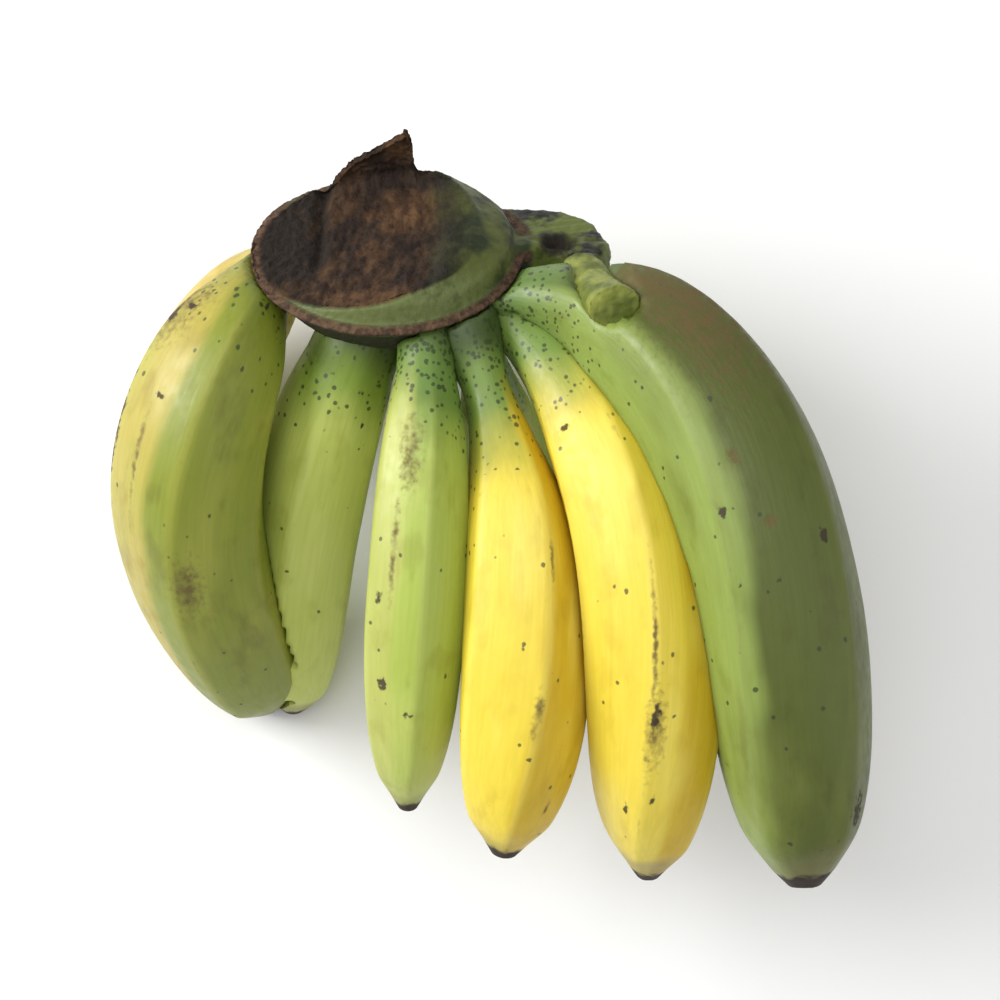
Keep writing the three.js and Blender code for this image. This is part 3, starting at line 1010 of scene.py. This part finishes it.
def dried_depth(own, standing, masks):
    """How far the crown has shrunk in at a point, in millimetres."""
    spread = min(crown_spread(own), 1)
    rough = 1 + noise.fractal(own * 0.45, 1.0, 2.0, 4)
    strands = 1 + noise.noise(Vector((own.x * 0.9, own.y * 0.25, own.z * 0.9)))
    fold = math.exp(-(((own.x - FOLD_X) / 1.6) ** 2)) * ramp(own.y, -18, -6)
    sunk = 0.15 * rough
    sunk += masks["brown"] * FIBRE_DEPTH * (0.5 * rough + 0.5 * strands)
    sunk += masks["brown"] * DISH_DEPTH * (1 - spread * spread)
    sunk += masks["brown"] * FOLD_DEPTH * fold
    sunk += masks["rim"] * 0.1 * rough
    sunk += (masks["torn"] + masks["flap"]) * 0.25 * rough
    away = (standing - Vector(HOLLOW_PLACE)).length
    sunk += HOLLOW_DEPTH * ramp(away, HOLLOW_RADIUS, 0)
    return sunk


def weather(bm):
    """Shrinks and roughens the crown, and marks its finishes for the material."""
    standing_from_frame = LAY_DOWN.inverted()
    layers = {name: bm.verts.layers.float.new(name) for name in CROWN_MASKS}
    bm.normal_update()
    lay_turn = LAY_DOWN.to_3x3()
    crown_turn = crown_matrix().to_3x3()
    moves = []
    for vert in bm.verts:
        standing = standing_from_frame @ vert.co
        own = CROWN_FROM_FRAME @ vert.co
        masks = crown_masks(own, standing)
        for name, layer in layers.items():
            vert[layer] = masks[name]
        move = vert.normal * (-dried_depth(own, standing, masks) * MM)
        on_right = ramp(own.x, 4, 28) * ramp(own.z, 3, 13) * ramp(own.y, 26, 18)
        lower = crown_turn @ Vector((0, 0, -ROUND_DEPTH * on_right))
        moves.append((vert, move + lay_turn @ lower))
    for vert, move in moves:
        vert.co += move
    keep_in_box(bm)


def crown_bmesh():
    """The crown: all its parts grown into one skin."""
    bm = bmesh.new()
    add_crown_body(bm)
    add_shard(bm)
    add_corner(bm)
    add_stub(bm)
    bmesh.ops.transform(bm, matrix=LAY_DOWN, verts=bm.verts[:])
    rough = add_object("crown_rough", bm)
    remesh = rough.modifiers.new("grown_together", "REMESH")
    remesh.mode = "VOXEL"
    remesh.voxel_size = CROWN_VOXEL * MM
    graph = bpy.context.evaluated_depsgraph_get()
    whole = bmesh.new()
    whole.from_object(rough, graph)
    bpy.data.objects.remove(rough)
    for _ in range(CROWN_SMOOTHINGS):
        bmesh.ops.smooth_vert(whole, verts=whole.verts[:], factor=0.5, use_axis_x=True,
                              use_axis_y=True, use_axis_z=True)
    weather(whole)
    return whole


def make_camera():
    """The camera, at the photograph's angle."""
    elevation = math.radians(CAMERA_ELEVATION)
    back = Vector((0, -math.cos(elevation), math.sin(elevation)))
    target = LAY_DOWN @ Vector(CAMERA_TARGET)
    eye = LAY_DOWN @ (Vector(CAMERA_TARGET) + back * CAMERA_DISTANCE)
    data = bpy.data.cameras.new("camera")
    data.lens = CAMERA_LENS
    data.sensor_width = 36
    data.dof.use_dof = False
    camera = bpy.data.objects.new("camera", data)
    camera.location = eye
    camera.rotation_euler = (target - eye).to_track_quat("-Z", "Y").to_euler()
    bpy.context.scene.collection.objects.link(camera)
    bpy.context.scene.camera = camera


def add_soft_light(name, place, size, power):
    """A square soft light that points at the middle of the hand."""
    data = bpy.data.lights.new(name, "AREA")
    data.shape = "SQUARE"
    data.size = size
    data.energy = power
    light = bpy.data.objects.new(name, data)
    light.location = place
    aim = Vector(LIGHT_AIM) - Vector(place)
    light.rotation_euler = aim.to_track_quat("-Z", "Y").to_euler()
    bpy.context.scene.collection.objects.link(light)


class HandSettings(bpy.types.PropertyGroup):
    """The sizes and colours that a user would change."""

    finger_sides: bpy.props.IntProperty(
        name="Finger sides", description="Points round a finger", default=70, min=20, max=140
    )
    finger_rings: bpy.props.IntProperty(
        name="Finger rings", description="Rings along a finger", default=120, min=40, max=300
    )
    floor_size: bpy.props.FloatProperty(
        name="Floor size", description="Width of the floor", default=6.0, unit="LENGTH"
    )
    floor_color: bpy.props.FloatVectorProperty(
        name="Floor colour", description="Colour of the pale floor", subtype="COLOR",
        size=3, min=0, max=1, default=(0.86, 0.86, 0.86)
    )


class BANANAS_OT_crown(bpy.types.Operator):
    """Make the crown with its cut face, shard, torn corner and stub"""

    bl_idname = "bananas.crown"
    bl_label = "Crown"

    def execute(self, context):
        bm = crown_bmesh()
        PIECE_TREES.append(BVHTree.FromBMesh(bm))
        piece = add_object("crown_skin", bm, crown_material())
        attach(piece, "root")
        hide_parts("crown")
        return {"FINISHED"}


class BANANAS_OT_front_fingers(bpy.types.Operator):
    """Make the fingers that show from the front"""

    bl_idname = "bananas.front_fingers"
    bl_label = "Front fingers"

    def execute(self, context):
        add_fingers(context, FRONT_FINGERS)
        return {"FINISHED"}


class BANANAS_OT_hidden_fingers(bpy.types.Operator):
    """Make the inner fingers and the back finger behind the front row"""

    bl_idname = "bananas.hidden_fingers"
    bl_label = "Hidden fingers"

    def execute(self, context):
        add_fingers(context, HIDDEN_FINGERS)
        return {"FINISHED"}


class BANANAS_OT_stage(bpy.types.Operator):
    """Make the pale floor, the soft lights and the camera"""

    bl_idname = "bananas.stage"
    bl_label = "Stage"

    def execute(self, context):
        settings = context.scene.hand_of_bananas
        bm = bmesh.new()
        bmesh.ops.create_grid(bm, x_segments=1, y_segments=1, size=settings.floor_size / 2)
        material = bpy.data.materials.new("floor_paper")
        material.use_nodes = True
        shader = material.node_tree.nodes["Principled BSDF"]
        shader.inputs["Base Color"].default_value = (*settings.floor_color, 1)
        shader.inputs["Roughness"].default_value = 0.9
        floor = add_object("floor", bm, material)
        make_camera()
        for light in LIGHTS:
            add_soft_light(*light)
        world = bpy.data.worlds.new("studio")
        world.use_nodes = True
        background = world.node_tree.nodes["Background"]
        background.inputs["Color"].default_value = (1, 1, 1, 1)
        background.inputs["Strength"].default_value = WORLD_STRENGTH
        context.scene.world = world
        context.scene.view_settings.view_transform = "Standard"
        return {"FINISHED"}


class BANANAS_PT_panel(bpy.types.Panel):
    """Lists the pieces of the hand"""

    bl_label = "Hand of bananas"
    bl_space_type = "VIEW_3D"
    bl_region_type = "UI"
    bl_category = "Bananas"

    def draw(self, context):
        settings = context.scene.hand_of_bananas
        for name in settings.__annotations__:
            self.layout.prop(settings, name)
        for operator in OPERATORS:
            self.layout.operator(operator.bl_idname)


OPERATORS = (
    BANANAS_OT_crown,
    BANANAS_OT_front_fingers,
    BANANAS_OT_hidden_fingers,
    BANANAS_OT_stage,
)
CLASSES = (HandSettings, *OPERATORS, BANANAS_PT_panel)


def register():
    """Registers the classes and puts the settings on the scene."""
    for item in CLASSES:
        bpy.utils.register_class(item)
    bpy.types.Scene.hand_of_bananas = bpy.props.PointerProperty(type=HandSettings)


def unregister():
    """Takes the settings and the classes away again."""
    del bpy.types.Scene.hand_of_bananas
    for item in reversed(CLASSES):
        bpy.utils.unregister_class(item)


def main():
    """Makes the whole hand and its stage."""
    register()
    bpy.ops.bananas.crown()
    bpy.ops.bananas.front_fingers()
    bpy.ops.bananas.hidden_fingers()
    bpy.ops.bananas.stage()


if __name__ == "__main__":
    main()
